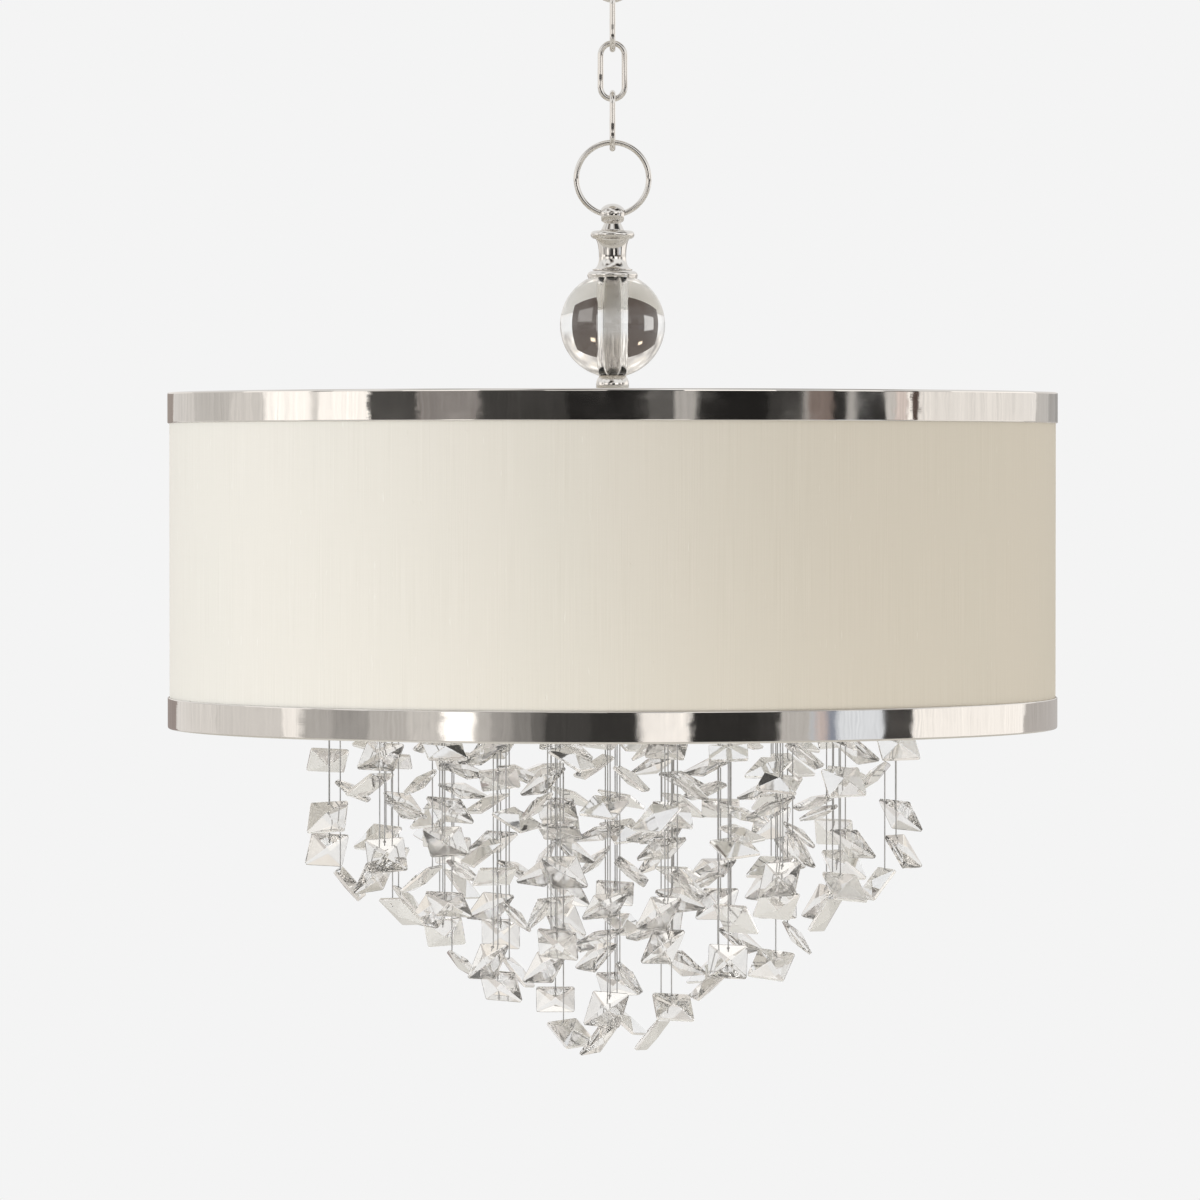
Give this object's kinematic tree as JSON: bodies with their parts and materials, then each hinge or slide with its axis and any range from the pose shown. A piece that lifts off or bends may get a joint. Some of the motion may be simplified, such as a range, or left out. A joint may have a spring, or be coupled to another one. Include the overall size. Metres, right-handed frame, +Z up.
{
  "type": "drum chandelier",
  "caption": "Fabric drum shade between polished bands, hung from a ceiling canopy by chain, ring and glass ball, with strands of square crystals below.",
  "frame": {"origin": "on the ceiling plane, over the middle of the chandelier", "axes": "+Z up; the pictured side faces -Y; +X to the right as seen from that side"},
  "size_m": [0.508, 0.508, 0.6614],
  "materials": {
    "nickel": "polished nickel plate",
    "zinc": "zinc plated, dull",
    "green_metal": "green passivated",
    "glass": "clear, polished",
    "crystal": "clear, facetted",
    "silk": "woven silk look, matte",
    "liner": "white translucent sheet",
    "white_metal": "white enamel, satin",
    "socket": "black phenolic",
    "bulb": "clear candelabra bulb on a metal screw base"
  },
  "bodies": {
    "ceiling_mount": {"ceiling_crossbar": "zinc", "ground_screw": "green_metal", "canopy_nipple": "zinc", "canopy_hex_nut": "zinc", "canopy_dome": "nickel", "canopy_loop": "nickel"},
    "collar": {"canopy_collar": "nickel"},
    "link_1": {"chain_link_1": "nickel"},
    "link_2": {"chain_link_2": "nickel"},
    "link_3": {"chain_link_3": "nickel"},
    "ring": {"hanging_ring": "nickel"},
    "fixture": {"eye_knob": "nickel", "finial_vase": "nickel", "ball_cup": "nickel", "glass_ball": "glass", "ball_spacer": "nickel", "stem_pipe": "nickel", "shade_spider": "white_metal", "shade_top_ring": "white_metal", "shade_bottom_ring": "white_metal", "shade_fabric": "silk", "shade_liner": "liner", "shade_top_band": "nickel", "shade_bottom_band": "nickel", "shade_washer": "zinc", "shade_nut": "zinc", "lamp_cluster": "white_metal", "socket_1": "socket", "socket_2": "socket", "socket_3": "socket", "crystal_rack": "white_metal", "rack_nut": "zinc"},
    "lamp_1": {"bulb_1": "bulb"},
    "lamp_2": {"bulb_2": "bulb"},
    "lamp_3": {"bulb_3": "bulb"},
    "strand_01": {"crystal_strand_01": "crystal"},
    "strand_02": {"crystal_strand_02": "crystal"},
    "strand_03": {"crystal_strand_03": "crystal"},
    "strand_04": {"crystal_strand_04": "crystal"},
    "strand_05": {"crystal_strand_05": "crystal"},
    "strand_06": {"crystal_strand_06": "crystal"},
    "strand_07": {"crystal_strand_07": "crystal"},
    "strand_08": {"crystal_strand_08": "crystal"},
    "strand_09": {"crystal_strand_09": "crystal"},
    "strand_10": {"crystal_strand_10": "crystal"},
    "strand_11": {"crystal_strand_11": "crystal"},
    "strand_12": {"crystal_strand_12": "crystal"},
    "strand_13": {"crystal_strand_13": "crystal"},
    "strand_14": {"crystal_strand_14": "crystal"},
    "strand_15": {"crystal_strand_15": "crystal"},
    "strand_16": {"crystal_strand_16": "crystal"},
    "strand_17": {"crystal_strand_17": "crystal"},
    "strand_18": {"crystal_strand_18": "crystal"},
    "strand_19": {"crystal_strand_19": "crystal"},
    "strand_20": {"crystal_strand_20": "crystal"},
    "strand_21": {"crystal_strand_21": "crystal"},
    "strand_22": {"crystal_strand_22": "crystal"},
    "strand_23": {"crystal_strand_23": "crystal"},
    "strand_24": {"crystal_strand_24": "crystal"}
  },
  "joints": [
    {"name": "collar_turn", "type": "hinge", "parent": "ceiling_mount", "child": "collar", "pos_m": [0, 0, -0.0323], "axis": [0, 0, 1], "continuous": true},
    {"name": "link_1_swing", "type": "hinge", "parent": "ceiling_mount", "child": "link_1", "pos_m": [0, 0, -0.05965], "axis": [1, 0, 0], "range_deg": [-45, 45]},
    {"name": "link_2_swing", "type": "hinge", "parent": "link_1", "child": "link_2", "pos_m": [0, 0, -0.08795], "axis": [0, 1, 0], "range_deg": [-45, 45]},
    {"name": "link_3_swing", "type": "hinge", "parent": "link_2", "child": "link_3", "pos_m": [0, 0, -0.11625], "axis": [1, 0, 0], "range_deg": [-45, 45]},
    {"name": "ring_swing", "type": "hinge", "parent": "link_3", "child": "ring", "pos_m": [0, 0, -0.14455], "axis": [0, 1, 0], "range_deg": [-45, 45]},
    {"name": "fixture_swing", "type": "hinge", "parent": "ring", "child": "fixture", "pos_m": [0, 0, -0.1824], "axis": [1, 0, 0], "range_deg": [-45, 45]},
    {"name": "bulb_1_turn", "type": "hinge", "parent": "fixture", "child": "lamp_1", "pos_m": [0.05369, 0.031, -0.385], "axis": [0, 0, 1], "continuous": true},
    {"name": "bulb_2_turn", "type": "hinge", "parent": "fixture", "child": "lamp_2", "pos_m": [-0.05369, 0.031, -0.385], "axis": [0, 0, 1], "continuous": true},
    {"name": "bulb_3_turn", "type": "hinge", "parent": "fixture", "child": "lamp_3", "pos_m": [0, -0.062, -0.385], "axis": [0, 0, 1], "continuous": true},
    {"name": "strand_01_swing", "type": "hinge", "parent": "fixture", "child": "strand_01", "pos_m": [-0.16, 0, -0.44902], "axis": [0, 1, 0], "range_deg": [-15, 15]},
    {"name": "strand_02_swing", "type": "hinge", "parent": "fixture", "child": "strand_02", "pos_m": [-0.128, -0.058, -0.44902], "axis": [0, 1, 0], "range_deg": [-15, 15]},
    {"name": "strand_03_swing", "type": "hinge", "parent": "fixture", "child": "strand_03", "pos_m": [-0.128, 0.058, -0.44902], "axis": [0, 1, 0], "range_deg": [-15, 15]},
    {"name": "strand_04_swing", "type": "hinge", "parent": "fixture", "child": "strand_04", "pos_m": [-0.096, -0.116, -0.44902], "axis": [0, 1, 0], "range_deg": [-15, 15]},
    {"name": "strand_05_swing", "type": "hinge", "parent": "fixture", "child": "strand_05", "pos_m": [-0.096, 0, -0.44902], "axis": [0, 1, 0], "range_deg": [-15, 15]},
    {"name": "strand_06_swing", "type": "hinge", "parent": "fixture", "child": "strand_06", "pos_m": [-0.096, 0.116, -0.44902], "axis": [0, 1, 0], "range_deg": [-15, 15]},
    {"name": "strand_07_swing", "type": "hinge", "parent": "fixture", "child": "strand_07", "pos_m": [-0.064, -0.058, -0.44902], "axis": [0, 1, 0], "range_deg": [-15, 15]},
    {"name": "strand_08_swing", "type": "hinge", "parent": "fixture", "child": "strand_08", "pos_m": [-0.064, 0.058, -0.44902], "axis": [0, 1, 0], "range_deg": [-15, 15]},
    {"name": "strand_09_swing", "type": "hinge", "parent": "fixture", "child": "strand_09", "pos_m": [-0.032, -0.116, -0.44902], "axis": [0, 1, 0], "range_deg": [-15, 15]},
    {"name": "strand_10_swing", "type": "hinge", "parent": "fixture", "child": "strand_10", "pos_m": [-0.032, 0, -0.44902], "axis": [0, 1, 0], "range_deg": [-15, 15]},
    {"name": "strand_11_swing", "type": "hinge", "parent": "fixture", "child": "strand_11", "pos_m": [-0.032, 0.116, -0.44902], "axis": [0, 1, 0], "range_deg": [-15, 15]},
    {"name": "strand_12_swing", "type": "hinge", "parent": "fixture", "child": "strand_12", "pos_m": [0, -0.058, -0.44902], "axis": [0, 1, 0], "range_deg": [-15, 15]},
    {"name": "strand_13_swing", "type": "hinge", "parent": "fixture", "child": "strand_13", "pos_m": [0, 0.058, -0.44902], "axis": [0, 1, 0], "range_deg": [-15, 15]},
    {"name": "strand_14_swing", "type": "hinge", "parent": "fixture", "child": "strand_14", "pos_m": [0.032, -0.116, -0.44902], "axis": [0, 1, 0], "range_deg": [-15, 15]},
    {"name": "strand_15_swing", "type": "hinge", "parent": "fixture", "child": "strand_15", "pos_m": [0.032, 0, -0.44902], "axis": [0, 1, 0], "range_deg": [-15, 15]},
    {"name": "strand_16_swing", "type": "hinge", "parent": "fixture", "child": "strand_16", "pos_m": [0.032, 0.116, -0.44902], "axis": [0, 1, 0], "range_deg": [-15, 15]},
    {"name": "strand_17_swing", "type": "hinge", "parent": "fixture", "child": "strand_17", "pos_m": [0.064, -0.058, -0.44902], "axis": [0, 1, 0], "range_deg": [-15, 15]},
    {"name": "strand_18_swing", "type": "hinge", "parent": "fixture", "child": "strand_18", "pos_m": [0.064, 0.058, -0.44902], "axis": [0, 1, 0], "range_deg": [-15, 15]},
    {"name": "strand_19_swing", "type": "hinge", "parent": "fixture", "child": "strand_19", "pos_m": [0.096, -0.116, -0.44902], "axis": [0, 1, 0], "range_deg": [-15, 15]},
    {"name": "strand_20_swing", "type": "hinge", "parent": "fixture", "child": "strand_20", "pos_m": [0.096, 0, -0.44902], "axis": [0, 1, 0], "range_deg": [-15, 15]},
    {"name": "strand_21_swing", "type": "hinge", "parent": "fixture", "child": "strand_21", "pos_m": [0.096, 0.116, -0.44902], "axis": [0, 1, 0], "range_deg": [-15, 15]},
    {"name": "strand_22_swing", "type": "hinge", "parent": "fixture", "child": "strand_22", "pos_m": [0.128, -0.058, -0.44902], "axis": [0, 1, 0], "range_deg": [-15, 15]},
    {"name": "strand_23_swing", "type": "hinge", "parent": "fixture", "child": "strand_23", "pos_m": [0.128, 0.058, -0.44902], "axis": [0, 1, 0], "range_deg": [-15, 15]},
    {"name": "strand_24_swing", "type": "hinge", "parent": "fixture", "child": "strand_24", "pos_m": [0.16, 0, -0.44902], "axis": [0, 1, 0], "range_deg": [-15, 15]}
  ],
  "couplings": [
    {"joint": "strand_01_swing", "follows": "strand_12_swing", "ratio": 1},
    {"joint": "strand_02_swing", "follows": "strand_12_swing", "ratio": 1},
    {"joint": "strand_03_swing", "follows": "strand_12_swing", "ratio": 1},
    {"joint": "strand_04_swing", "follows": "strand_12_swing", "ratio": 1},
    {"joint": "strand_05_swing", "follows": "strand_12_swing", "ratio": 1},
    {"joint": "strand_06_swing", "follows": "strand_12_swing", "ratio": 1},
    {"joint": "strand_07_swing", "follows": "strand_12_swing", "ratio": 1},
    {"joint": "strand_08_swing", "follows": "strand_12_swing", "ratio": 1},
    {"joint": "strand_09_swing", "follows": "strand_12_swing", "ratio": 1},
    {"joint": "strand_10_swing", "follows": "strand_12_swing", "ratio": 1},
    {"joint": "strand_11_swing", "follows": "strand_12_swing", "ratio": 1},
    {"joint": "strand_13_swing", "follows": "strand_12_swing", "ratio": 1},
    {"joint": "strand_14_swing", "follows": "strand_12_swing", "ratio": 1},
    {"joint": "strand_15_swing", "follows": "strand_12_swing", "ratio": 1},
    {"joint": "strand_16_swing", "follows": "strand_12_swing", "ratio": 1},
    {"joint": "strand_17_swing", "follows": "strand_12_swing", "ratio": 1},
    {"joint": "strand_18_swing", "follows": "strand_12_swing", "ratio": 1},
    {"joint": "strand_19_swing", "follows": "strand_12_swing", "ratio": 1},
    {"joint": "strand_20_swing", "follows": "strand_12_swing", "ratio": 1},
    {"joint": "strand_21_swing", "follows": "strand_12_swing", "ratio": 1},
    {"joint": "strand_22_swing", "follows": "strand_12_swing", "ratio": 1},
    {"joint": "strand_23_swing", "follows": "strand_12_swing", "ratio": 1},
    {"joint": "strand_24_swing", "follows": "strand_12_swing", "ratio": 1}
  ]
}
